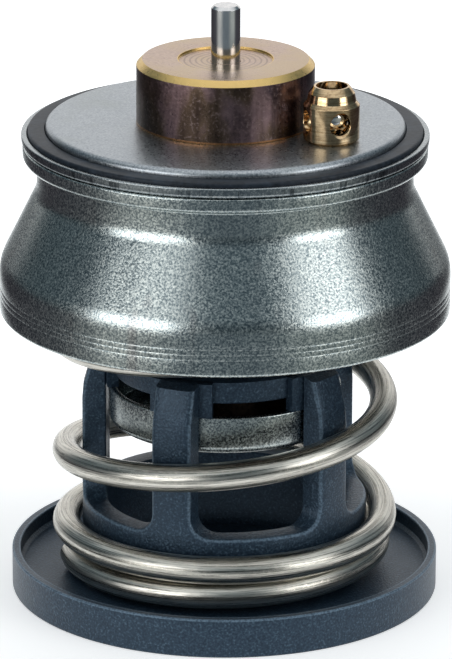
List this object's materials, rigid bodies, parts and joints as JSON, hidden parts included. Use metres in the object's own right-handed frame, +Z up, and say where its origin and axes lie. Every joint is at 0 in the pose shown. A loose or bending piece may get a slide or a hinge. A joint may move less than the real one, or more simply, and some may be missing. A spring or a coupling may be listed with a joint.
{
  "type": "engine thermostat",
  "caption": "Engine thermostat insert: bell-shaped valve with rubber seal and wax element, compression spring, moulded cage and foot, bypass cup and ball vent.",
  "frame": {"origin": "centre of the foot's flat underside", "axes": "+Z up the valve's axis towards the piston pin, -Y towards the viewer of the picture, +X to the viewer's right, where the air vent is"},
  "size_m": [0.0678, 0.0678, 0.091],
  "materials": {
    "moulded_plastic": "dark blue-grey glass-filled moulding, matt with a fine grain",
    "spring_steel": "round drawn wire, dull nickel grey with fine marks along the wire",
    "pressed_steel": "pressed stainless sheet, satin with a fine grain",
    "seal_rubber": "moulded black rubber, matt",
    "disc_steel": "pressed sheet, matt light grey",
    "brass": "turned brass with a brown tarnish on the side",
    "bulb_brass": "drawn brass cup, plain",
    "wax": "wax filled with copper powder",
    "backup_plastic": "white fluoroplastic ring",
    "cup_steel": "pressed sheet with a bright rounded edge",
    "vent_brass": "bright turned brass",
    "ball_steel": "polished ball",
    "pin_steel": "ground and polished hardened steel"
  },
  "bodies": {
    "base": {"cage_foot": "moulded_plastic", "main_spring": "spring_steel"},
    "valve": {"bell": "pressed_steel", "carrier_plate": "pressed_steel", "seal_ring": "seal_rubber", "top_disc": "disc_steel", "element_head": "brass", "head_circlip": "spring_steel", "wax_bulb": "bulb_brass", "wax_charge": "wax", "rubber_boot": "seal_rubber", "backup_washer": "backup_plastic", "bypass_cup": "cup_steel", "cup_clip": "spring_steel", "vent_body": "vent_brass"},
    "pin": {"piston_pin": "pin_steel"},
    "ball": {"vent_ball": "ball_steel"}
  },
  "joints": [
    {"name": "valve_slide", "type": "slide", "parent": "base", "child": "valve", "axis": [0, 0, -1], "range_m": [0, 0.014], "stiffness_N_per_m": 9000, "springref_m": -0.008, "deforming": ["main_spring"]},
    {"name": "pin_slide", "type": "slide", "parent": "valve", "child": "pin", "axis": [0, 0, 1], "range_m": [0, 0.014]},
    {"name": "ball_lift", "type": "slide", "parent": "valve", "child": "ball", "axis": [0, 0, 1], "range_m": [0, 0.0022]}
  ]
}
